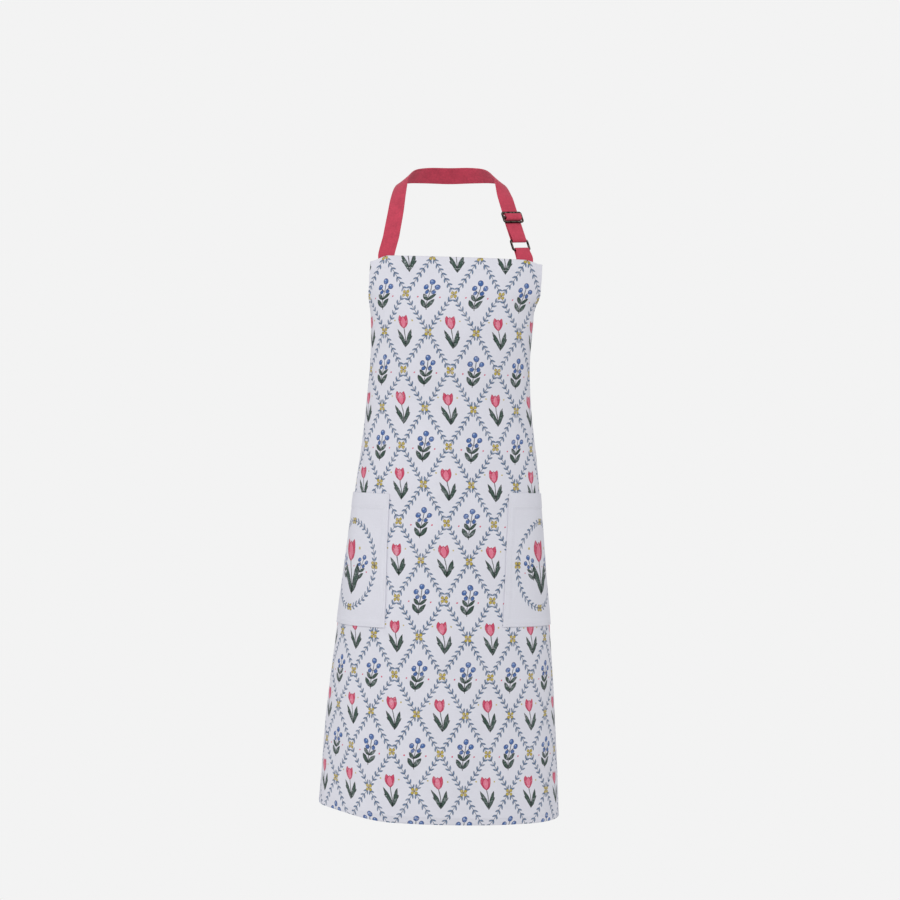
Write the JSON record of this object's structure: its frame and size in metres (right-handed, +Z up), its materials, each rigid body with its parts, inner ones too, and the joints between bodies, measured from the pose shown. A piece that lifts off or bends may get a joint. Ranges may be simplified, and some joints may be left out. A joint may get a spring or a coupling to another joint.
{
  "type": "bib apron",
  "caption": "Full-length cotton bib apron held as worn, with patch pockets, an adjustable neck strap with slider and ring, and waist ties knotted behind.",
  "frame": {"origin": "on the inner face of the neck strap where it bears on the nape of the wearer's neck", "axes": "+Z up, -Y to the front of the apron, +X to the right seen from the front"},
  "size_m": [0.3784, 0.2533, 1.0186],
  "materials": {
    "printed_cotton": "woven cotton, white ground with a floral print",
    "plain_cotton": "woven cotton, white",
    "strap_cotton": "plain-woven cotton strap, pink-red",
    "dark_metal": "dark antique plated metal, half gloss"
  },
  "bodies": {
    "root": {"apron_panel": "printed_cotton", "pocket_left": "plain_cotton", "pocket_right": "plain_cotton", "neck_strap": "strap_cotton", "ring_tab": "strap_cotton", "waist_tie_left": "strap_cotton", "waist_tie_right": "strap_cotton", "tie_knot": "strap_cotton", "strap_slider": "dark_metal", "strap_ring": "dark_metal"}
  },
  "joints": []
}
